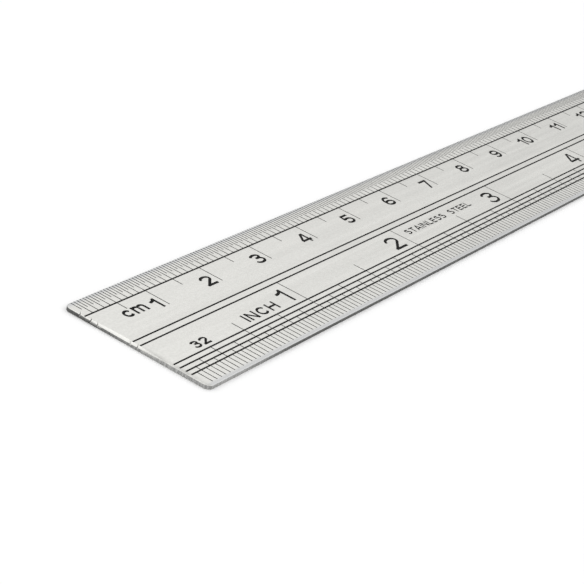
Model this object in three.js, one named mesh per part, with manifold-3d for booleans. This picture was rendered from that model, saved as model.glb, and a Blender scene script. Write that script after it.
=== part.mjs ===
// Steel ruler, 15 cm and 6 in: a thin stainless blade with black enamel in its etched marks.
// Millimetres. The origin lies under the middle of the blade, on the surface that it rests on.
// +X runs along the scales, away from zero; +Y points to the metric edge; +Z is up.
import * as THREE from "three";
import { ConvexGeometry } from "three/addons/geometries/ConvexGeometry.js";
import { mergeVertices } from "three/addons/utils/BufferGeometryUtils.js";
import Module from "manifold-3d";

const wasm = await Module();
wasm.setup();

// Driving dimensions of the blade.
const LENGTH = 175;
const WIDTH = 19;
const THICKNESS = 0.5;
const ARRIS = 0.06; // chamfer that takes the sharpness off every edge
const CORNER_RADIUS = 0.8; // the two corners of the square end, where the scales start
const HOLE_RADIUS = 3; // hang hole, at the centre of the round end
const ROUND_STEPS = 12; // half the facets of the hang hole and of the round end

// Driving dimensions of the scales. A depth is a distance from one edge of the blade.
const ZERO_INSET = 0.5; // from the square end to the zero of both scales
const INCH_LINE_LEAD = 0.12; // from where the inch lines start to the zero of both scales
const METRIC_LENGTH = 150;
const INCHES = 6;
const INCH = 25.4;
const LINE_WIDTH = 0.23;
const TICK_WIDTH = 0.13;
const ENAMEL = 0.04; // how far the enamel stands above the steel
const METRIC_LINE_DEPTH = 2.71;
const FIVE_MM_TICK_DEPTH = 4.13;
const TEN_MM_TICK_DEPTH = 6.08;
const CENTRE_LINE_DEPTH = 8.87;
const INCH_TICK_MARGIN = 0.5; // plain steel between the inch ticks and the inch edge
const HALF_INCH_TICK_DEPTH = 6.55;
// The lines of the inch scale, from its edge inwards, and the divisions of an inch that reach each.
const INCH_LINES = [
  { depth: 2.56, division: 32 },
  { depth: 3.28, division: 16 },
  { depth: 4.05, division: 8 },
  { depth: 4.84, division: 4 },
  { depth: 9.17, division: 1 },
];

// Lettering: cap height, stroke width, gap between characters, and the level of the base line as
// a distance from the inch edge.
const METRIC_TEXT = { height: 1.94, stroke: 0.36, gap: 0.3, baseline: 12.85 };
const UNIT_TEXT = { height: 1.35, stroke: 0.35, gap: 0.29, baseline: 13.43 };
const INCH_TEXT = { height: 2.6, stroke: 0.38, gap: 0.3, baseline: 5.52 };
const WORD_TEXT = { height: 1.49, stroke: 0.3, gap: 0.37, baseline: 5.49 };
const DIVISION_TEXT = { height: 1.3, stroke: 0.28, gap: 0.27, baseline: 5.36 };
const MARK_TEXT = { height: 1.05, stroke: 0.2, gap: 0.22, baseline: 7 };
const METRIC_NUMERAL_GAP = 0.7; // from a numeral's right side to its tick
const INCH_NUMERAL_GAP = 1.32;
// Where each word starts, as a distance from zero.
const UNIT_START = 3.5;
const DIVISION_START = 4.77;
const WORD_START = 14.76;
const STAINLESS_START = 52.3;
const STEEL_START = 63.4;
const ARC_STEPS = 7; // half the facets of an arc in a character
const SHARPEST_MITRE = 0.5; // cosine of half the sharpest turn that a stroke's mitre follows

// The tools that cut the gaps of a scale run this far past what they cut.
const CUT_MARGIN = 1;
const CUT_OVERLAP = 0.1;
const WELD = 1e-5; // vertices nearer than this are one

// Places worked out from the driving dimensions.
const ZERO_X = ZERO_INSET - LENGTH / 2;
const METRIC_EDGE = WIDTH / 2;
const INCH_EDGE = -WIDTH / 2;
const METRIC_SCALE_START = ARRIS - LENGTH / 2; // its long line runs to the chamfer of the square end
const INCH_SCALE_START = ZERO_X - INCH_LINE_LEAD;

const steel = new THREE.MeshStandardMaterial({ color: 0xd6d5d1, roughness: 0.4, metalness: 1 });
const enamel = new THREE.MeshStandardMaterial({ color: 0x121212, roughness: 0.45, metalness: 0 });

function degrees(angle) {
  return (angle * Math.PI) / 180;
}

function solidFrom(geometry) {
  const bare = geometry.clone();
  bare.deleteAttribute("normal");
  bare.deleteAttribute("uv");
  const merged = mergeVertices(bare, WELD);
  return new wasm.Manifold(
    new wasm.Mesh({
      numProp: 3,
      vertProperties: merged.attributes.position.array,
      triVerts: new Uint32Array(merged.index.array),
    }),
  );
}

function geometryFrom(solid) {
  const mesh = solid.getMesh();
  const geometry = new THREE.BufferGeometry();
  geometry.setAttribute("position", new THREE.BufferAttribute(mesh.vertProperties, 3));
  geometry.setIndex(new THREE.BufferAttribute(mesh.triVerts, 1));
  geometry.computeVertexNormals();
  return geometry;
}

function joined(geometries) {
  return geometries.map(solidFrom).reduce((whole, solid) => whole.add(solid));
}

function block(x0, y0, z0, x1, y1, z1) {
  const box = new THREE.BoxGeometry(x1 - x0, y1 - y0, z1 - z0);
  return box.translate((x0 + x1) / 2, (y0 + y1) / 2, (z0 + z1) / 2);
}

function enamelBlock(x0, y0, x1, y1) {
  return block(x0, y0, 0, x1, y1, ENAMEL);
}

// A block that cuts right through the enamel.
function cutter(x0, y0, x1, y1) {
  return block(x0, y0, -CUT_MARGIN, x1, y1, CUT_MARGIN);
}

// The blade: square at the zero end, a half circle at the other, chamfered all round.
function bladeGeometry() {
  const round = LENGTH / 2 - WIDTH / 2;
  const corner = CORNER_RADIUS - LENGTH / 2;
  const outline = new THREE.Shape();
  outline.moveTo(corner, INCH_EDGE);
  outline.absarc(round, 0, WIDTH / 2, degrees(-90), degrees(90), false);
  outline.absarc(corner, METRIC_EDGE - CORNER_RADIUS, CORNER_RADIUS, degrees(90), degrees(180), false);
  outline.absarc(corner, INCH_EDGE + CORNER_RADIUS, CORNER_RADIUS, degrees(180), degrees(270), false);
  const hole = new THREE.Path();
  hole.absarc(round, 0, HOLE_RADIUS, 0, 2 * Math.PI, true);
  outline.holes.push(hole);
  const blade = new THREE.ExtrudeGeometry(outline, {
    depth: THICKNESS - 2 * ARRIS,
    bevelEnabled: true,
    bevelThickness: ARRIS,
    bevelSize: ARRIS,
    bevelOffset: -ARRIS,
    bevelSegments: 1,
    curveSegments: ROUND_STEPS,
  });
  return blade.translate(0, 0, ARRIS);
}

// The gaps between the ticks of one band of a scale, each cut right through the enamel.
function gapsOf(band, start, end) {
  const gaps = [];
  const count = Math.round((end - ZERO_X) / band.pitch);
  let left = start - CUT_MARGIN;
  for (let i = 1; i <= count; i += 1) {
    const x = ZERO_X + i * band.pitch;
    gaps.push(cutter(left, band.low, x - TICK_WIDTH / 2, band.high));
    left = x + TICK_WIDTH / 2;
  }
  return gaps;
}

// A scale is one sheet of enamel, and what is left between the gaps is its lines and its ticks.
function scaleSolid(sheet, bands) {
  const whole = solidFrom(enamelBlock(sheet.start, sheet.low, sheet.end, sheet.high));
  const gaps = bands.flatMap((band) => gapsOf(band, sheet.start, sheet.end));
  return gaps.map(solidFrom).reduce((left, gap) => left.subtract(gap), whole);
}

// The metric scale: its long line, joined to a tick for each millimetre.
function metricScaleGeometry() {
  const line = METRIC_EDGE - METRIC_LINE_DEPTH;
  const edge = METRIC_EDGE - ARRIS;
  const fiveMmEnd = METRIC_EDGE - FIVE_MM_TICK_DEPTH;
  const tenMmEnd = METRIC_EDGE - TEN_MM_TICK_DEPTH;
  const end = ZERO_X + METRIC_LENGTH + TICK_WIDTH / 2;
  const sheet = { start: METRIC_SCALE_START, end, low: tenMmEnd, high: edge };
  const scale = scaleSolid(sheet, [
    { pitch: 1, low: line + LINE_WIDTH / 2, high: edge + CUT_MARGIN },
    { pitch: 5, low: fiveMmEnd - CUT_OVERLAP, high: line - LINE_WIDTH / 2 },
    { pitch: 10, low: tenMmEnd - CUT_MARGIN, high: fiveMmEnd },
  ]);
  return geometryFrom(scale);
}

// The inch scale: a ladder of long lines. The ticks of each division join one line to the next,
// and the half-inch ticks stop part of the way to the last line.
function inchScaleGeometry() {
  const levels = INCH_LINES.map((line) => INCH_EDGE + line.depth);
  const last = levels.length - 1;
  const end = ZERO_X + INCHES * INCH + TICK_WIDTH / 2;
  const bands = INCH_LINES.map((line, i) => ({
    pitch: INCH / line.division,
    low: i > 0 ? levels[i - 1] + LINE_WIDTH / 2 : INCH_EDGE - CUT_MARGIN,
    high: levels[i] - LINE_WIDTH / 2,
  }));
  const halfInchEnd = INCH_EDGE + HALF_INCH_TICK_DEPTH;
  bands.push({ pitch: INCH / 2, low: bands[last].low, high: halfInchEnd + CUT_OVERLAP });
  bands[last].low = halfInchEnd;
  const low = INCH_EDGE + INCH_TICK_MARGIN;
  const high = levels[last] + LINE_WIDTH / 2;
  return geometryFrom(scaleSolid({ start: INCH_SCALE_START, end, low, high }, bands));
}

// The line down the middle of the face, beside the last line of the inch scale.
function centreLineGeometry() {
  const y = METRIC_EDGE - CENTRE_LINE_DEPTH;
  const end = ZERO_X + INCHES * INCH + TICK_WIDTH / 2;
  return enamelBlock(INCH_SCALE_START, y - LINE_WIDTH / 2, end, y + LINE_WIDTH / 2);
}

function polyline(...points) {
  const path = new THREE.Path();
  path.setFromPoints(points.map(([x, y]) => new THREE.Vector2(x, y)));
  return path;
}

// An elliptical arc; it runs clockwise where the second angle is the smaller one.
function arc(cx, cy, rx, ry, from, to) {
  const path = new THREE.Path();
  path.absellipse(cx, cy, rx, ry, degrees(from), degrees(to), to < from, 0);
  return path;
}

// A closed ring, as two arcs that overlap a little.
function ring(cx, cy, rx, ry) {
  return [arc(cx, cy, rx, ry, -5, 185), arc(cx, cy, rx, ry, 175, 365)];
}

// The centre lines of each character, on a cap height of 1. The half stroke h keeps the outside
// of a stroke inside the character's width and height, and every character starts at x = 0.
const CHARACTERS = {
  0: (h) => ({ width: 0.92, strokes: ring(0.46, 0.5, 0.46 - h, 0.5 - h) }),
  1: (h) => {
    const flag = polyline([0, 0.73]);
    flag.quadraticCurveTo(0.52 - h, 0.74, 0.54 - h, 1);
    return { width: 0.56, strokes: [flag, polyline([0.56 - h, 0], [0.56 - h, 1])] };
  },
  2: (h) => {
    const hook = arc(0.48, 0.69, 0.47 - h, 0.31 - h, 180, -52);
    hook.lineTo(1.3 * h, h);
    return { width: 0.97, strokes: [hook, polyline([0, h], [0.97, h])] };
  },
  3: (h) => ({
    width: 0.96,
    strokes: [
      arc(0.47, 0.78 - h / 2, 0.45 - h, 0.22 - h / 2, 172, -90),
      arc(0.48, 0.28 + h / 2, 0.48 - h, 0.28 - h / 2, 90, -170),
      polyline([0.35, 0.56], [0.5, 0.56]),
    ],
  }),
  4: (h) => ({
    width: 0.96,
    strokes: [
      polyline([0.72, 0], [0.72, 1]),
      polyline([0, 0.28], [0.96, 0.28]),
      polyline([0.73, 1.05], [0.4 * h, 0.27]),
    ],
  }),
  5: (h) => ({
    width: 0.92,
    strokes: [
      polyline([0.2, 1 - h], [0.84, 1 - h]),
      polyline([0.22, 1], [0.13, 0.46]),
      arc(0.46, 0.34, 0.46 - h, 0.34 - h, 138, -160),
    ],
  }),
  6: (h) => ({
    width: 0.92,
    strokes: [
      ...ring(0.46, 0.32, 0.46 - h, 0.32 - h),
      arc(0.5, 0.5, 0.5 - h, 0.5 - h, 200, 42),
    ],
  }),
  7: (h) => ({
    width: 0.88,
    strokes: [polyline([0, 1 - h], [0.88, 1 - h]), polyline([0.86 - h, 1 - h], [0.3, -0.05])],
  }),
  8: (h) => ({
    width: 0.92,
    strokes: [
      ...ring(0.46, 0.78 - h / 2, 0.41 - h, 0.22 - h / 2),
      ...ring(0.46, 0.28 + h / 2, 0.46 - h, 0.28 - h / 2),
    ],
  }),
  9: (h) => ({
    width: 0.92,
    strokes: [
      ...ring(0.46, 0.68, 0.46 - h, 0.32 - h),
      arc(0.42, 0.5, 0.5 - h, 0.5 - h, 20, -138),
    ],
  }),
  c: (h) => ({ width: 1.04, strokes: [arc(0.54, 0.5, 0.54 - h, 0.5 - h, 32, 328)] }),
  m: (h) => {
    const span = (0.78 - h) / 2;
    const arch = (left) => {
      const path = arc(left + span, 0.6, span, 0.4 - h, 180, 0);
      path.lineTo(left + 2 * span, 0);
      return path;
    };
    return { width: 1.56, strokes: [polyline([h, 0], [h, 1]), arch(h), arch(0.78)] };
  },
  I: (h) => ({ width: 2 * h, strokes: [polyline([h, 0], [h, 1])] }),
  N: (h) => ({
    width: 1.04,
    strokes: [
      polyline([h, 0], [h, 1]),
      polyline([1.04 - h, 0], [1.04 - h, 1]),
      polyline([0.7 * h, 1.02], [1.04 - 0.7 * h, -0.02]),
    ],
  }),
  C: (h) => ({ width: 1.1, strokes: [arc(0.56, 0.5, 0.56 - h, 0.5 - h, 32, 328)] }),
  H: (h) => ({
    width: 1.06,
    strokes: [
      polyline([h, 0], [h, 1]),
      polyline([1.06 - h, 0], [1.06 - h, 1]),
      polyline([h, 0.52], [1.06 - h, 0.52]),
    ],
  }),
  A: (h) => ({
    width: 1.04,
    strokes: [
      polyline([0.6 * h, -0.05], [0.53, 1.05]),
      polyline([1.04 - 0.6 * h, -0.05], [0.51, 1.05]),
      polyline([0.2, 0.3], [0.84, 0.3]),
    ],
  }),
  E: (h) => ({
    width: 0.82,
    strokes: [
      polyline([h, 0], [h, 1]),
      polyline([h, h], [0.82, h]),
      polyline([h, 0.52], [0.76, 0.52]),
      polyline([h, 1 - h], [0.8, 1 - h]),
    ],
  }),
  L: (h) => ({ width: 0.8, strokes: [polyline([h, 0], [h, 1]), polyline([h, h], [0.8, h])] }),
  S: (h) => ({
    width: 0.96,
    strokes: [
      arc(0.48, 0.78 - h / 2, 0.44 - h, 0.22 - h / 2, 32, 275),
      arc(0.48, 0.28 + h / 2, 0.48 - h, 0.28 - h / 2, 95, -150),
    ],
  }),
  T: (h) => ({
    width: 0.9,
    strokes: [polyline([0.45, 0], [0.45, 1]), polyline([0, 1 - h], [0.9, 1 - h])],
  }),
};

// The two sides of a stroke at each point of its centre line, mitred where it turns.
function strokeSides(path, text) {
  const points = path.getPoints(ARC_STEPS).map((point) => point.multiplyScalar(text.height));
  return points.map((point, i) => {
    const before = points[Math.max(i - 1, 0)];
    const after = points[Math.min(i + 1, points.length - 1)];
    const out = after.clone().sub(i < points.length - 1 ? point : before).normalize();
    const into = point.clone().sub(i > 0 ? before : point.clone().sub(out)).normalize();
    const normal = into.add(out).normalize();
    const mitre = text.stroke / 2 / Math.max(normal.dot(out), SHARPEST_MITRE);
    const side = new THREE.Vector2(-normal.y, normal.x).multiplyScalar(mitre);
    return [point.clone().add(side), point.clone().sub(side)];
  });
}

// A stroke as a chain of convex slabs of enamel, one for each step along its centre line.
function strokeSlabs(path, text) {
  const sides = strokeSides(path, text);
  return sides.slice(1).map((side, i) => {
    const corners = [...sides[i], ...side];
    const level = (z) => corners.map(({ x, y }) => new THREE.Vector3(x, y, z));
    return new ConvexGeometry([...level(0), ...level(ENAMEL)]);
  });
}

// One character as a film of enamel, trimmed to its own width and height.
function characterGeometry(character, text) {
  const { width, strokes } = CHARACTERS[character](text.stroke / text.height / 2);
  const slabs = strokes.flatMap((path) => strokeSlabs(path, text));
  const frame = solidFrom(enamelBlock(0, 0, width * text.height, text.height));
  return geometryFrom(joined(slabs).intersect(frame));
}

function characterWidth(character, text) {
  return CHARACTERS[character](text.stroke / text.height / 2).width * text.height;
}

function textWidth(characters, text) {
  const widths = [...characters].map((character) => characterWidth(character, text));
  return widths.reduce((sum, width) => sum + width + text.gap, -text.gap);
}

function enamelMesh(name, geometry) {
  const mesh = new THREE.Mesh(geometry, enamel);
  mesh.name = name;
  return mesh;
}

// A row of characters from x, read from the inch edge; each is a mesh of its own.
function textGroup(name, characters, x, text) {
  const group = new THREE.Group();
  group.position.set(x, INCH_EDGE + text.baseline, 0);
  let pen = 0;
  [...characters].forEach((character, i) => {
    const suffix = characters.length > 1 ? `_${i + 1}` : "";
    const mesh = enamelMesh(name + suffix, characterGeometry(character, text));
    mesh.position.x = pen;
    group.add(mesh);
    pen += characterWidth(character, text) + text.gap;
  });
  return group;
}

// The numerals of one scale, each just before its tick.
function numerals(name, count, pitch, gap, text) {
  const group = new THREE.Group();
  for (let value = 1; value <= count; value += 1) {
    const right = ZERO_X + value * pitch - gap;
    const characters = String(value);
    const left = right - textWidth(characters, text);
    group.add(textGroup(`${name}_${value}`, characters, left, text));
  }
  return group;
}

function marks() {
  const group = new THREE.Group();
  group.position.z = THICKNESS;
  group.add(
    enamelMesh("metric_scale", metricScaleGeometry()),
    enamelMesh("inch_scale", inchScaleGeometry()),
    enamelMesh("centre_line", centreLineGeometry()),
    numerals("metric_numeral", METRIC_LENGTH / 10, 10, METRIC_NUMERAL_GAP, METRIC_TEXT),
    numerals("inch_numeral", INCHES, INCH, INCH_NUMERAL_GAP, INCH_TEXT),
    textGroup("metric_unit", "cm", ZERO_X + UNIT_START, UNIT_TEXT),
    textGroup("inch_unit", "INCH", ZERO_X + WORD_START, WORD_TEXT),
    textGroup("inch_division", "32", ZERO_X + DIVISION_START, DIVISION_TEXT),
    textGroup("mark_stainless", "STAINLESS", ZERO_X + STAINLESS_START, MARK_TEXT),
    textGroup("mark_steel", "STEEL", ZERO_X + STEEL_START, MARK_TEXT),
  );
  return group;
}

const blade = new THREE.Mesh(bladeGeometry(), steel);
blade.name = "blade";

const ruler = new THREE.Group();
ruler.add(blade, marks());

export default ruler;
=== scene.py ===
"""Steel ruler: the visual model, built in the frame of its CAD model.

The blade is etched: every line, tick and numeral is a groove cut into the steel, and separate
pieces of black enamel fill the grooves to just below the face. The ruler's shapes are made in
millimetres, and each finished mesh is scaled to metres.
"""

import math

import bmesh
import bpy
from mathutils import Euler, Matrix, Vector


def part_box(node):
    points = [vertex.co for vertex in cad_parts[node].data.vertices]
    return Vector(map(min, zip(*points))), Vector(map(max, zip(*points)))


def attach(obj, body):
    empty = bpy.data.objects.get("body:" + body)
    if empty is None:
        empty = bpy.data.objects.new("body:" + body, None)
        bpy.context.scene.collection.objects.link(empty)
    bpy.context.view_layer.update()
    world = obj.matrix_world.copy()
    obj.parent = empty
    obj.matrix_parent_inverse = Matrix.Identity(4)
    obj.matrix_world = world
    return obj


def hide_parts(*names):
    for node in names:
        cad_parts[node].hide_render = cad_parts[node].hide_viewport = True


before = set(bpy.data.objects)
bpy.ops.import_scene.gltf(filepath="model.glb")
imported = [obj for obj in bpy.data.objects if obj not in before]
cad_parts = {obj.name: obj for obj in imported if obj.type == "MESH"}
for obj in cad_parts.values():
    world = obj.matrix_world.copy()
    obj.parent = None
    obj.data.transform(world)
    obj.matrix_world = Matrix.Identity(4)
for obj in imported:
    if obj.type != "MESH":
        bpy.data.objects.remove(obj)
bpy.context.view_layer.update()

MM = 0.001

# The blade. It lies along X with its square end at low X, and rests on z = 0.
blade_low, blade_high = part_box("blade")
LENGTH = (blade_high.x - blade_low.x) / MM
WIDTH = (blade_high.y - blade_low.y) / MM
THICKNESS = (blade_high.z - blade_low.z) / MM
CORNER_RADIUS = 0.8
ROUND_CENTRE = LENGTH / 2 - WIDTH / 2
HOLE_RADIUS = 3.0
ROUND_STEPS = 72
CORNER_STEPS = 12
END_STEPS = 30

# The rounded arrises: how far each one goes in from the edge, and how far along the thickness.
# The one along the square end is worn. Full wear adds END_WEAR to it, a little off the middle of
# the end, and the wear fades out over WEAR_REACH to both sides.
END_ARRIS = (0.08, 0.04)
END_WEAR = (0.34, 0.1)
WEAR_CENTRE_Y = 1.7
WEAR_REACH = 6.8
SIDE_ARRIS = (0.1, 0.07)
BACK_ARRIS = (0.06, 0.05)
ARRIS_STEPS = 9
WORN_FLATNESS = 1.75  # 1 is a round arris and 2 is a straight chamfer

# The lip round the hang hole at both faces, and how far the hole's cutter goes on past it.
HOLE_LIP = 0.08
HOLE_LIP_STEPS = 6
HOLE_CLEARANCE = 0.2

# Nicks across the arris of the square end: the Y where each one starts, and its slant.
NICKS = [(7.6, 0.5), (6.05, 0.3), (5.27, 0.6), (1.05, 0.8), (-0.07, 0.4)]
NICK_LENGTH = 0.52
NICK_DEPTH = 0.18
NICK_HALF_WIDTH = 0.08
NICK_FLOOR_SHARE = 0.8  # the width of a nick's cutter at its floor, as a share of that at its top

# The etching. The cutter of the grooves rises above the face, for a clean cut.
ENAMEL_NODES = [node for node in sorted(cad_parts) if node != "blade"]
CAD_FILM = 0.04  # how far the CAD films of enamel stand above the face
GROOVE_DEPTH = 0.05
GROOVE_CUTTER_RISE = 0.1
ENAMEL_BELOW_FACE = 0.006
ZERO_FROM_END = 0.5  # from the square end to the zero of both scales
ZERO_X = ZERO_FROM_END - LENGTH / 2
SCALE_LENGTH = 150
HALF_TICK_WIDTH = 0.13
HALF_TICK_LENGTH = 1.57

# Mesh work.
WELD = 2e-4
LEVEL = 0.9999  # a face whose normal rises this much counts as level
SHARP_ANGLE = math.radians(40)

# The camera. Its lens and sensor are in millimetres, its place and clipping distances in metres,
# and its turn in degrees. Its shift each way is half a pixel of the square image.
IMAGE_SIDE = 584
CAMERA_SHIFT = 0.5 / IMAGE_SIDE
CAMERA_LENS = 121.0
CAMERA_SENSOR = 36.0
CAMERA_CLIP = (0.005, 20.0)
CAMERA_PLACE = (-0.23783, -0.09099, 0.09595)
CAMERA_TURN = (63.2857, -13.8817, -56.4789)

# The studio, in metres. The world's brightness depends on how steeply a direction rises: each
# of its three factors is (from rise, to rise, factor at the first, factor at the second).
FLOOR_HALF_SIDE = 3.0
WORLD_LOW = (0.1, 0.6, 0.24, 1.2)
WORLD_MIDDLE = (0.6, 0.75, 1.0, 1.2)
WORLD_ZENITH = (0.82, 0.98, 1.0, 0.42)
SOFTBOX_PLACE = (-0.75, -0.28, 1.15)
SOFTBOX_SIDE = 1.0
SOFTBOX_WATTS = 1.5

# Colours, as linear red, green and blue.
FACE_DARK = (0.722, 0.717, 0.686)
FACE_LIGHT = (0.836, 0.831, 0.798)
# Painted shade: the greyer face in a strip along each side, a painted darker reflection next to
# the edges.
SIDE_SHADE_DARK = (0.597, 0.602, 0.602)
SIDE_SHADE_LIGHT = (0.663, 0.668, 0.668)
# Painted shade: the darker face in a strip along the square end near the inch scale's corner, a
# painted dark reflection on the arris there.
END_SHADE_DARK = (0.50, 0.497, 0.473)
END_SHADE_LIGHT = (0.63, 0.627, 0.60)
# Painted shade: the cut edges and steep walls, far darker than steel, partly duller sheared steel
# and partly painted shade.
SHADED_EDGE_DARK = (0.10, 0.10, 0.098)
SHADED_EDGE_LIGHT = (0.17, 0.17, 0.165)
# The same painted shade on the edge, lighter near the inch scale's corner.
CORNER_EDGE_DARK = (0.30, 0.30, 0.295)
CORNER_EDGE_LIGHT = (0.52, 0.52, 0.51)
ENAMEL_DARK = (0.009, 0.009, 0.009)
ENAMEL_LIGHT = (0.016, 0.0155, 0.015)
PAPER_WHITE = (0.93, 0.93, 0.93)

# Noises over the object. A stretch is how fine the noise is along X, Y and Z, per metre.
BRUSHING = {"stretch": (90, 9000, 9000), "detail": 4.0, "roughness": 0.6}
STREAKS = {"stretch": (25, 1400, 1400), "detail": 3.0, "roughness": 0.55}
CLOUDS = {"stretch": (120, 160, 160), "detail": 2.0, "roughness": 0.5}
SPECKS = {"stretch": (5200, 7000, 7000), "detail": 1.0, "roughness": 0.5}
MOTTLE = {"stretch": (2600, 3600, 3600), "detail": 2.0, "roughness": 0.6}
# Patches in the painted shade along the square end.
END_SHADE_PATCHES = {"stretch": (1100, 800, 800), "detail": 2.0, "roughness": 0.5}
SHEARING = {"stretch": (4000, 4000, 700), "detail": 3.0, "roughness": 0.6}
ENAMEL_GRAIN = {"stretch": (1500, 1500, 1500), "detail": 3.0, "roughness": 0.6}
ENAMEL_WEAR = {"stretch": (300, 300, 300), "detail": 2.0, "roughness": 0.5}
PAPER_FIBRE = {"stretch": (900, 900, 900), "detail": 3.0, "roughness": 0.6}

# What becomes of a noise: each is (from noise, to noise, result at the first, result at the
# second). A tone of 0 gives the dark colour of a pair, and a tone of 1 the light one.
STREAK_TONE = (0.3, 0.7, 0.0, 0.4)
MOTTLE_TONE = (0.3, 0.7, 0.0, 0.6)
# How much of the painted shade along the square end each patch keeps.
END_SHADE_PATCH_SHARE = (0.35, 0.6, 0.4, 1.0)
SHEARING_TONE = (0.35, 0.65, 0.0, 1.0)
STREAK_ROUGHNESS = (0.25, 0.75, 0.30, 0.38)
CLOUD_ROUGHNESS = (0.3, 0.7, -0.02, 0.03)
ENAMEL_TONE = (0.35, 0.7, 0.0, 1.0)
ENAMEL_ROUGHNESS = (0.3, 0.7, 0.5, 0.7)

# The steel's finish. The edge counts as cut, rougher and painted dark as shade, where the normal
# rises less than the first share, and wholly so below the second.
CUT_AND_SHADED_EDGE_RISE = (0.35, 0.05)
CUT_EDGE_ROUGHNESS = 0.15

# The strips of painted shade on the face along both sides and along the square end start at the
# first of these distances from the edge and are full at the second, in millimetres.
STRIP_REACH = (0.75, 0.3)

# Round the inch scale's corner of the square end, in metres from it: where the strip of painted
# shade along the end starts to fade and where it is gone, and the same for the part of the edge
# whose painted shade is lighter.
END_SHADE_REACH = (0.006, 0.011)
CORNER_EDGE_REACH = (0.006, 0.016)

# Fine relief and gloss. The bumps' distances are in metres.
SPECK_SHARE = 0.25
STEEL_BUMP = {"Strength": 0.25, "Distance": 0.000004}
ENAMEL_SPECULAR = 0.05
ENAMEL_BUMP = {"Strength": 0.3, "Distance": 0.000006}
PAPER_BUMP = {"Strength": 0.05, "Distance": 0.00002}


# ---------------------------------------------------------------- camera

def make_camera():
    data = bpy.data.cameras.new("camera")
    data.lens = CAMERA_LENS
    data.sensor_width = CAMERA_SENSOR
    data.shift_x = -CAMERA_SHIFT
    data.shift_y = CAMERA_SHIFT
    data.clip_start, data.clip_end = CAMERA_CLIP
    camera = bpy.data.objects.new("camera", data)
    camera.location = CAMERA_PLACE
    camera.rotation_euler = Euler([math.radians(turn) for turn in CAMERA_TURN], "XYZ")
    bpy.context.scene.collection.objects.link(camera)
    bpy.context.scene.camera = camera


# ---------------------------------------------------------------- node helpers

def new_tree(owner):
    """An empty node tree for a material or a world."""
    owner.use_nodes = True
    owner.node_tree.nodes.clear()
    return owner.node_tree


def feed(tree, socket, value):
    """Links a socket to another node's output, or sets it to a value or an opaque colour."""
    if isinstance(value, bpy.types.NodeSocket):
        tree.links.new(value, socket)
    elif socket.type == "RGBA":
        socket.default_value = (*value, 1)
    else:
        socket.default_value = value


def add_node(tree, kind, **inputs):
    node = tree.nodes.new(kind)
    for key, value in inputs.items():
        feed(tree, node.inputs[key.replace("_", " ")], value)
    return node


def add_output(tree, kind, surface):
    output = tree.nodes.new(kind)
    tree.links.new(surface, output.inputs["Surface"])


def noise(tree, where, stretch, detail, roughness):
    mapping = add_node(tree, "ShaderNodeMapping", Vector=where, Scale=stretch)
    made = add_node(
        tree,
        "ShaderNodeTexNoise",
        Vector=mapping.outputs["Vector"],
        Scale=1.0,
        Detail=detail,
        Roughness=roughness,
    )
    return made.outputs["Fac"]


def map_range(tree, value, low, high, to_low, to_high):
    node = add_node(
        tree,
        "ShaderNodeMapRange",
        Value=value,
        From_Min=low,
        From_Max=high,
        To_Min=to_low,
        To_Max=to_high,
    )
    return node.outputs["Result"]


def calculate(tree, operation, *values):
    node = tree.nodes.new("ShaderNodeMath")
    node.operation = operation
    for socket, value in zip(node.inputs, values):
        feed(tree, socket, value)
    return node.outputs[0]


def distance_from(tree, where, point):
    node = tree.nodes.new("ShaderNodeVectorMath")
    node.operation = "DISTANCE"
    feed(tree, node.inputs[0], where)
    feed(tree, node.inputs[1], point)
    return node.outputs["Value"]


def part_of(tree, vector, axis):
    return add_node(tree, "ShaderNodeSeparateXYZ", Vector=vector).outputs[axis]


def mix_colour(tree, factor, a, b):
    node = tree.nodes.new("ShaderNodeMix")
    node.data_type = "RGBA"
    for name, value in (("Factor_Float", factor), ("A_Color", a), ("B_Color", b)):
        socket = next(s for s in node.inputs if s.identifier == name)
        feed(tree, socket, value)
    return next(s for s in node.outputs if s.identifier == "Result_Color")


# ---------------------------------------------------------------- materials

def face_colour(tree, where, streaks, from_corner):
    """Streaked and mottled, with painted shade: greyer in a strip along each side, as a darker
    reflection next to the edge, and darker in a patchy strip along the square end, as a dark
    reflection on its arris, which fades away from the corner."""
    streak_tone = map_range(tree, streaks, *STREAK_TONE)
    mottle_tone = map_range(tree, noise(tree, where, **MOTTLE), *MOTTLE_TONE)
    tone = calculate(tree, "ADD", streak_tone, mottle_tone)
    face = mix_colour(tree, tone, FACE_DARK, FACE_LIGHT)

    # Painted shade: a greyer strip along each side, as a darker reflection next to the edge.
    across = calculate(tree, "ABSOLUTE", part_of(tree, where, "Y"))
    side_from, side_to = ((WIDTH / 2 - reach) * MM for reach in STRIP_REACH)
    side_shade = map_range(tree, across, side_from, side_to, 0.0, 1.0)
    face = mix_colour(tree, side_shade, face, mix_colour(tree, tone, SIDE_SHADE_DARK, SIDE_SHADE_LIGHT))

    # Painted shade: a darker, patchy strip along the square end near the inch scale's corner, as
    # a dark reflection on the arris.
    end_from, end_to = ((reach - LENGTH / 2) * MM for reach in STRIP_REACH)
    end_shade = map_range(tree, part_of(tree, where, "X"), end_from, end_to, 0.0, 1.0)
    near_corner = map_range(tree, from_corner, *END_SHADE_REACH, 1.0, 0.0)
    end_shade = calculate(tree, "MULTIPLY", end_shade, near_corner)
    shade_patches = map_range(tree, noise(tree, where, **END_SHADE_PATCHES), *END_SHADE_PATCH_SHARE)
    end_shade = calculate(tree, "MULTIPLY", end_shade, shade_patches)
    return mix_colour(tree, end_shade, face, mix_colour(tree, tone, END_SHADE_DARK, END_SHADE_LIGHT))


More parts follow.
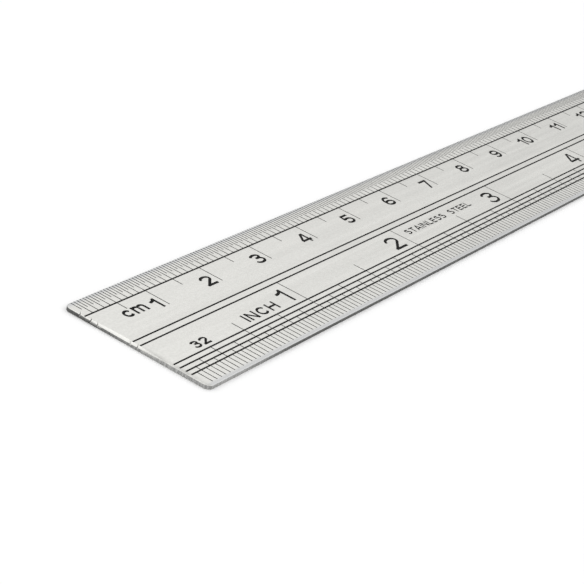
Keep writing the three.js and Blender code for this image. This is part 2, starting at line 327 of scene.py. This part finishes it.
def shaded_edge_colour(tree, where, from_corner):
    """Painted shade: the sheared edge is painted dark, partly as duller sheared steel and partly
    as shade, and lighter near the inch scale's corner.
    """
    shearing_tone = map_range(tree, noise(tree, where, **SHEARING), *SHEARING_TONE)
    sheared_and_shaded = mix_colour(tree, shearing_tone, SHADED_EDGE_DARK, SHADED_EDGE_LIGHT)
    bright = mix_colour(tree, shearing_tone, CORNER_EDGE_DARK, CORNER_EDGE_LIGHT)
    # The painted shade on the edge is lighter near the inch scale's corner.
    near_corner_edge = map_range(tree, from_corner, *CORNER_EDGE_REACH, 1.0, 0.0)
    return mix_colour(tree, near_corner_edge, sheared_and_shaded, bright)


def steel_colour(tree, where, streaks, cut_and_shaded_edge):
    """The face's colour, and the edge's painted shade where the steel is cut."""
    corner = Vector((-LENGTH / 2, -WIDTH / 2, 0)) * MM
    from_corner = distance_from(tree, where, corner)
    face = face_colour(tree, where, streaks, from_corner)
    edge = shaded_edge_colour(tree, where, from_corner)
    return mix_colour(tree, cut_and_shaded_edge, face, edge)


def steel_roughness(tree, where, streaks, cut_and_shaded_edge):
    streaked = map_range(tree, streaks, *STREAK_ROUGHNESS)
    clouded = map_range(tree, noise(tree, where, **CLOUDS), *CLOUD_ROUGHNESS)
    face = calculate(tree, "ADD", streaked, clouded)
    cut = calculate(tree, "MULTIPLY", cut_and_shaded_edge, CUT_EDGE_ROUGHNESS)
    return calculate(tree, "ADD", face, cut)


def steel_material():
    material = bpy.data.materials.new("brushed_steel")
    tree = new_tree(material)
    where = add_node(tree, "ShaderNodeTexCoord").outputs["Object"]
    normal = add_node(tree, "ShaderNodeNewGeometry").outputs["Normal"]
    # Steep faces, the edges and the walls of the nicks, are rougher and painted dark as shade.
    rise = calculate(tree, "ABSOLUTE", part_of(tree, normal, "Z"))
    cut_and_shaded_edge = map_range(tree, rise, *CUT_AND_SHADED_EDGE_RISE, 0.0, 1.0)
    streaks = noise(tree, where, **STREAKS)

    specks = calculate(tree, "MULTIPLY", noise(tree, where, **SPECKS), SPECK_SHARE)
    height = calculate(tree, "ADD", noise(tree, where, **BRUSHING), specks)
    bump = add_node(tree, "ShaderNodeBump", Height=height, **STEEL_BUMP)
    shader = add_node(
        tree,
        "ShaderNodeBsdfPrincipled",
        Metallic=1.0,
        Base_Color=steel_colour(tree, where, streaks, cut_and_shaded_edge),
        Roughness=steel_roughness(tree, where, streaks, cut_and_shaded_edge),
        Normal=bump.outputs["Normal"],
    )
    add_output(tree, "ShaderNodeOutputMaterial", shader.outputs["BSDF"])
    return material


def enamel_material():
    material = bpy.data.materials.new("black_enamel")
    tree = new_tree(material)
    where = add_node(tree, "ShaderNodeTexCoord").outputs["Object"]
    grain = noise(tree, where, **ENAMEL_GRAIN)
    tone = map_range(tree, noise(tree, where, **ENAMEL_WEAR), *ENAMEL_TONE)
    bump = add_node(tree, "ShaderNodeBump", Height=grain, **ENAMEL_BUMP)
    shader = add_node(
        tree,
        "ShaderNodeBsdfPrincipled",
        Base_Color=mix_colour(tree, tone, ENAMEL_DARK, ENAMEL_LIGHT),
        Roughness=map_range(tree, grain, *ENAMEL_ROUGHNESS),
        Normal=bump.outputs["Normal"],
        Specular_IOR_Level=ENAMEL_SPECULAR,
    )
    add_output(tree, "ShaderNodeOutputMaterial", shader.outputs["BSDF"])
    return material


def paper_material():
    material = bpy.data.materials.new("white_paper")
    tree = new_tree(material)
    where = add_node(tree, "ShaderNodeTexCoord").outputs["Object"]
    fibre = noise(tree, where, **PAPER_FIBRE)
    bump = add_node(tree, "ShaderNodeBump", Height=fibre, **PAPER_BUMP)
    shader = add_node(
        tree,
        "ShaderNodeBsdfDiffuse",
        Color=PAPER_WHITE,
        Normal=bump.outputs["Normal"],
    )
    add_output(tree, "ShaderNodeOutputMaterial", shader.outputs["BSDF"])
    return material


# ---------------------------------------------------------------- mesh helpers

def mesh_object(name, bm, material=None):
    """An object from a bmesh, without the stored normals that a CAD mesh brings along."""
    mesh = bpy.data.meshes.new(name)
    bm.to_mesh(mesh)
    bm.free()
    stored = mesh.attributes.get("custom_normal")
    if stored:
        mesh.attributes.remove(stored)
    made = bpy.data.objects.new(name, mesh)
    if material:
        mesh.materials.append(material)
    bpy.context.scene.collection.objects.link(made)
    return made


def to_metres(made):
    made.data.transform(Matrix.Scale(MM, 4))


def remove(made):
    mesh = made.data
    bpy.data.objects.remove(made)
    bpy.data.meshes.remove(mesh)


def apply_modifiers(made):
    depsgraph = bpy.context.evaluated_depsgraph_get()
    result = bpy.data.meshes.new_from_object(made.evaluated_get(depsgraph), depsgraph=depsgraph)
    old = made.data
    made.modifiers.clear()
    made.data = result
    result.name = made.name
    bpy.data.meshes.remove(old)


def subtract(whole, cutter):
    """Cuts the cutter out of the mesh of whole, and removes the cutter."""
    modifier = whole.modifiers.new("cut", "BOOLEAN")
    modifier.operation = "DIFFERENCE"
    modifier.solver = "MANIFOLD"
    modifier.object = cutter
    apply_modifiers(whole)
    remove(cutter)


def add_box(bm, low, high):
    corners = [
        bm.verts.new((x, y, z))
        for z in (low[2], high[2])
        for x, y in ((low[0], low[1]), (high[0], low[1]), (high[0], high[1]), (low[0], high[1]))
    ]
    bm.faces.new(corners[3::-1])
    bm.faces.new(corners[4:])
    for i in range(4):
        j = (i + 1) % 4
        bm.faces.new((corners[i], corners[j], corners[4 + j], corners[4 + i]))


def add_to(bm, other):
    """Moves the mesh of one bmesh into another."""
    carrier = bpy.data.meshes.new("carrier")
    other.to_mesh(carrier)
    other.free()
    bm.from_mesh(carrier)
    bpy.data.meshes.remove(carrier)


def join_rings(bm, rings):
    """Faces between each ring of vertices and the next. All rings have the same number."""
    for low, high in zip(rings, rings[1:]):
        for i in range(len(low)):
            j = (i + 1) % len(low)
            bm.faces.new((low[i], low[j], high[j], high[i]))


def point_outwards(bm):
    bmesh.ops.recalc_face_normals(bm, faces=bm.faces)
    return bm


# ---------------------------------------------------------------- blade

def arris_shares(step, flatness):
    """How far in from the edge, and how far from the flat face, an arris is at a step, as shares
    of its size. It runs from the upright side at step 0 to the flat face at the last step."""
    angle = math.pi / 2 * step / ARRIS_STEPS
    return 1 - math.cos(angle) ** flatness, 1 - math.sin(angle) ** flatness


def end_wear(y):
    """How worn the square end's arris is at y, from 0 to 1."""
    away = min(abs(y - WEAR_CENTRE_Y) / WEAR_REACH, 1.0)
    return 0.5 + 0.5 * math.cos(math.pi * away)


def blade_outline():
    """Points of the blade's outline, anticlockwise from the inch scale's corner of the square
    end. Each is (centre x, centre y, direction x, direction y, reach from the centre)."""
    points = []
    corner_x = CORNER_RADIUS - LENGTH / 2
    corner_y = WIDTH / 2 - CORNER_RADIUS
    for i in range(CORNER_STEPS + 1):
        turn = math.pi / 2 * i / CORNER_STEPS
        points.append((corner_x, -corner_y, -math.cos(turn), -math.sin(turn), CORNER_RADIUS))
    for i in range(ROUND_STEPS + 1):
        turn = math.pi * i / ROUND_STEPS - math.pi / 2
        points.append((ROUND_CENTRE, 0.0, math.cos(turn), math.sin(turn), WIDTH / 2))
    for i in range(CORNER_STEPS + 1):
        turn = math.pi / 2 * (1 - i / CORNER_STEPS)
        points.append((corner_x, corner_y, -math.cos(turn), math.sin(turn), CORNER_RADIUS))
    for i in range(1, END_STEPS):
        y = corner_y * (1 - 2 * i / END_STEPS)
        points.append((corner_x, y, -1.0, 0.0, CORNER_RADIUS))
    return points


def back_ring(bm, step):
    """One ring of the arris round the back."""
    share_in, share_down = arris_shares(step, 1)
    inward = share_in * BACK_ARRIS[0]
    z = share_down * BACK_ARRIS[1]
    return [
        bm.verts.new((cx + dx * (reach - inward), cy + dy * (reach - inward), z))
        for cx, cy, dx, dy, reach in blade_outline()
    ]


def face_ring(bm, step):
    """One ring of the arris round the face. The worn arris of the square end blends into that of
    the sides round each corner."""
    ring = []
    side_in, side_down = (share * size for share, size in zip(arris_shares(step, 1), SIDE_ARRIS))
    for cx, cy, dx, dy, reach in blade_outline():
        square_end = cx < 0
        worn = end_wear(cy) if square_end else 0.0
        share_in, share_down = arris_shares(step, 1 + worn * (WORN_FLATNESS - 1))
        end_in = share_in * (END_ARRIS[0] + worn * END_WEAR[0])
        end_down = share_down * (END_ARRIS[1] + worn * END_WEAR[1])
        x = cx + dx * (reach - (end_in if square_end else side_in))
        y = cy + dy * (reach - side_in)
        towards_end = dx * dx if square_end else 0.0
        z = THICKNESS - side_down + (side_down - end_down) * towards_end
        ring.append(bm.verts.new((x, y, z)))
    return ring


def blade_mesh():
    bm = bmesh.new()
    rings = [back_ring(bm, step) for step in range(ARRIS_STEPS, -1, -1)]
    rings += [face_ring(bm, step) for step in range(ARRIS_STEPS + 1)]
    join_rings(bm, rings)
    bm.faces.new(list(reversed(rings[0])))
    bm.faces.new(rings[-1])
    return point_outwards(bm)


def hole_mesh():
    """What is cut away for the hang hole: a cylinder that flares out at both faces."""
    bm = bmesh.new()
    outer_radius = HOLE_RADIUS + HOLE_LIP + HOLE_CLEARANCE
    profile = [(outer_radius, THICKNESS + HOLE_CLEARANCE)]
    for i in range(HOLE_LIP_STEPS, -1, -1):
        angle = math.pi / 2 * i / HOLE_LIP_STEPS
        radius = HOLE_RADIUS + HOLE_LIP * (1 - math.cos(angle))
        profile.append((radius, THICKNESS - HOLE_LIP * (1 - math.sin(angle))))
    profile += [(radius, THICKNESS - z) for radius, z in reversed(profile)]
    turns = [math.pi * i / ROUND_STEPS for i in range(2 * ROUND_STEPS)]
    rings = []
    for radius, z in reversed(profile):
        ring = [(ROUND_CENTRE + radius * math.cos(a), radius * math.sin(a), z) for a in turns]
        rings.append([bm.verts.new(point) for point in ring])
    join_rings(bm, rings)
    bm.faces.new(list(reversed(rings[0])))
    bm.faces.new(rings[-1])
    return point_outwards(bm)


def nick_mesh():
    """What is cut away for the nicks: a tapered slot across the arris for each, which deepens
    towards the end of the blade."""
    bm = bmesh.new()
    inner_x = NICK_LENGTH - LENGTH / 2
    outer_x = -LENGTH / 2 - NICK_HALF_WIDTH
    outer_depth = NICK_DEPTH + END_ARRIS[1] + END_WEAR[1]
    floor_half = NICK_HALF_WIDTH * NICK_FLOOR_SHARE
    top = THICKNESS + NICK_HALF_WIDTH
    for y, slant in NICKS:
        rings = []
        for x, depth in ((inner_x, 0.0), (outer_x, outer_depth)):
            middle = y + slant * (x - inner_x)
            floor = THICKNESS - depth
            corners = (
                (-NICK_HALF_WIDTH, top),
                (NICK_HALF_WIDTH, top),
                (floor_half, floor),
                (-floor_half, floor),
            )
            rings.append([bm.verts.new((x, middle + side, z)) for side, z in corners])
        join_rings(bm, rings)
        bm.faces.new(rings[0])
        bm.faces.new(rings[1])
    return point_outwards(bm)


def enamel_mesh(node, top, bottom):
    """A CAD film of enamel, welded, with new levels for its top and its bottom."""
    bm = bmesh.new()
    bm.from_mesh(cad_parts[node].data)
    bmesh.ops.scale(bm, vec=(1 / MM, 1 / MM, 1 / MM), verts=bm.verts)
    bmesh.ops.remove_doubles(bm, verts=bm.verts, dist=WELD)
    film_middle = THICKNESS + CAD_FILM / 2
    for vertex in bm.verts:
        vertex.co.z = top if vertex.co.z > film_middle else bottom
    return point_outwards(bm)


def half_tick_mesh(top, bottom):
    """The ticks of the half millimetres, which stop halfway across the arris of the side."""
    bm = bmesh.new()
    low_y = WIDTH / 2 - HALF_TICK_LENGTH
    high_y = WIDTH / 2 - SIDE_ARRIS[0] / 2
    for i in range(SCALE_LENGTH):
        x = ZERO_X + i + 0.5
        low = (x - HALF_TICK_WIDTH / 2, low_y, bottom)
        high = (x + HALF_TICK_WIDTH / 2, high_y, top)
        add_box(bm, low, high)
    return point_outwards(bm)


def groove_mesh():
    """What is cut away for the etching, a little higher than the face."""
    top = THICKNESS + GROOVE_CUTTER_RISE
    bottom = THICKNESS - GROOVE_DEPTH
    bm = bmesh.new()
    for node in ENAMEL_NODES:
        add_to(bm, enamel_mesh(node, top, bottom))
    add_to(bm, half_tick_mesh(top, bottom))
    return bm


def shade_smooth(made):
    """Smooth shading, but not on the level faces or across sharp edges."""
    made.data.set_sharp_from_angle(angle=SHARP_ANGLE)
    for polygon in made.data.polygons:
        polygon.use_smooth = abs(polygon.normal.z) < LEVEL


def make_blade(steel):
    blade = mesh_object("etched_blade", blade_mesh(), steel)
    subtract(blade, mesh_object("hole_cutter", hole_mesh()))
    subtract(blade, mesh_object("nick_cutter", nick_mesh()))
    subtract(blade, mesh_object("groove_cutter", groove_mesh()))
    to_metres(blade)
    shade_smooth(blade)
    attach(blade, "root")
    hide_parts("blade")


def make_enamel(enamel):
    top = THICKNESS - ENAMEL_BELOW_FACE
    bottom = THICKNESS - GROOVE_DEPTH
    for node in ENAMEL_NODES:
        made = mesh_object("enamel_" + node, enamel_mesh(node, top, bottom), enamel)
        to_metres(made)
        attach(made, "root")
        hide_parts(node)
    ticks = mesh_object("half_millimetre_ticks", half_tick_mesh(top, bottom), enamel)
    to_metres(ticks)
    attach(ticks, "root")


# ---------------------------------------------------------------- surroundings

def make_floor():
    bm = bmesh.new()
    side = FLOOR_HALF_SIDE
    corners = ((-side, -side), (side, -side), (side, side), (-side, side))
    bm.faces.new([bm.verts.new((x, y, 0)) for x, y in corners])
    mesh_object("floor", bm, paper_material())


def make_world():
    world = bpy.data.worlds.new("studio")
    bpy.context.scene.world = world
    tree = new_tree(world)
    direction = add_node(tree, "ShaderNodeTexCoord").outputs["Generated"]
    rise = part_of(tree, direction, "Z")
    low = map_range(tree, rise, *WORLD_LOW)
    middle = map_range(tree, rise, *WORLD_MIDDLE)
    zenith = map_range(tree, rise, *WORLD_ZENITH)
    brightness = calculate(tree, "MULTIPLY", calculate(tree, "MULTIPLY", low, middle), zenith)
    background = add_node(
        tree,
        "ShaderNodeBackground",
        Color=(1, 1, 1),
        Strength=brightness,
    )
    add_output(tree, "ShaderNodeOutputWorld", background.outputs["Background"])


def make_softbox():
    data = bpy.data.lights.new("softbox", "AREA")
    data.shape = "RECTANGLE"
    data.size = SOFTBOX_SIDE
    data.size_y = SOFTBOX_SIDE
    data.energy = SOFTBOX_WATTS
    light = bpy.data.objects.new("softbox", data)
    light.location = SOFTBOX_PLACE
    light.rotation_euler = (-Vector(SOFTBOX_PLACE)).to_track_quat("-Z", "Y").to_euler()
    bpy.context.scene.collection.objects.link(light)


make_camera()
make_floor()
make_world()
make_softbox()
bpy.context.scene.view_settings.view_transform = "Standard"

make_blade(steel_material())
make_enamel(enamel_material())
